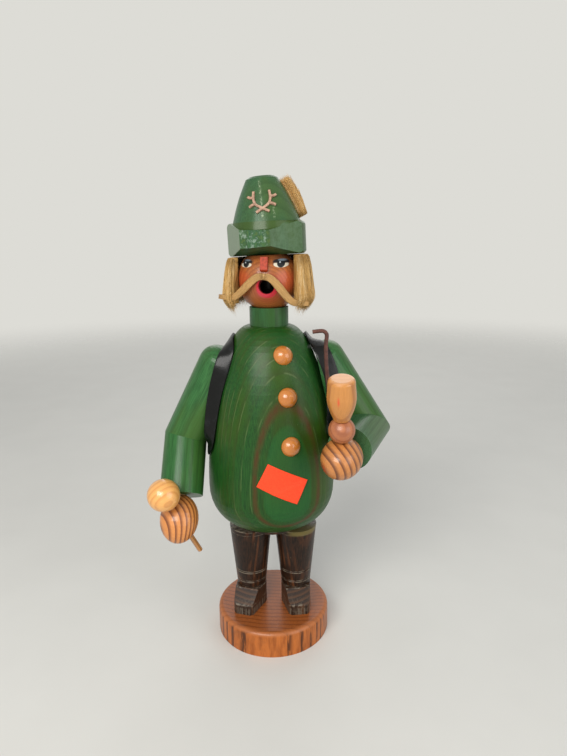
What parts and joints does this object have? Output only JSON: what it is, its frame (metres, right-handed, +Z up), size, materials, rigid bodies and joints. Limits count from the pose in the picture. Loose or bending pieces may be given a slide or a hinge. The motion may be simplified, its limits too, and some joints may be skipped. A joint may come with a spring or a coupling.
{
  "type": "incense smoker",
  "caption": "Turned wooden incense smoker: a hunter in a green coat with a pipe and a walking stick, whose coat lifts off to take a cone.",
  "frame": {"origin": "centre of the base's underside", "axes": "+Z up, the figure faces -Y, its left hand is at +X"},
  "size_m": [0.1263, 0.1027, 0.2502],
  "materials": {
    "green_wood": "varnished",
    "hat_wood": "varnished",
    "dark_wood": "varnished",
    "pine": "varnished",
    "face_wood": "varnished",
    "button_wood": "gloss",
    "pipe_wood": "varnished",
    "red_wood": "varnished",
    "tin": "satin",
    "brown_wire": "gloss",
    "black_leather": "gloss",
    "brown_leather": "satin",
    "bag_cloth": "matte",
    "fur": "matte",
    "badge_plastic": "matte"
  },
  "bodies": {
    "stand": {"base_disc": "pine", "right_shoe": "dark_wood", "left_shoe": "dark_wood", "right_boot": "dark_wood", "left_boot": "dark_wood", "right_foot_dowel": "pine", "left_foot_dowel": "pine", "right_hip_dowel": "pine", "left_hip_dowel": "pine", "seat_plug": "dark_wood", "cone_tray": "tin", "tray_nail": "tin"},
    "coat_body": {"right_hand": "pine", "left_hand": "pine", "right_shoulder_dowel": "pine", "right_elbow_dowel": "pine", "right_wrist_dowel": "pine", "left_shoulder_dowel": "pine", "left_elbow_dowel": "pine", "left_wrist_dowel": "pine", "pipe_dowel": "pine", "coat": "green_wood", "right_upper_arm": "green_wood", "right_forearm": "green_wood", "left_upper_arm": "green_wood", "left_forearm": "green_wood", "top_button": "button_wood", "middle_button": "button_wood", "bottom_button": "button_wood", "pipe_bead": "pipe_wood", "pipe_bowl": "pipe_wood", "pipe_stem": "brown_wire", "right_strap": "black_leather", "left_strap": "black_leather", "rucksack_bag": "bag_cloth", "rucksack_flap": "brown_leather"},
    "head_body": {"collar": "hat_wood", "head": "face_wood", "nose": "red_wood", "moustache": "fur", "hair": "fur", "hat_brim": "hat_wood", "hat_crown": "hat_wood", "hat_dowel": "pine", "hat_tuft": "fur", "antler_badge": "badge_plastic"},
    "stick": {"stick_rod": "pine", "stick_knob": "pine"}
  },
  "joints": [
    {"name": "coat_lift", "type": "slide", "parent": "stand", "child": "coat_body", "axis": [0, 0, 1], "range_m": [0, 0.045]},
    {"name": "head_turn", "type": "hinge", "parent": "coat_body", "child": "head_body", "pos_m": [0, 0, 0.1765], "axis": [0, 0, 1], "continuous": true},
    {"name": "stick_slide", "type": "slide", "parent": "coat_body", "child": "stick", "axis": [-0.2355, -0.4829, 0.8434], "range_m": [0, 0.02]}
  ]
}
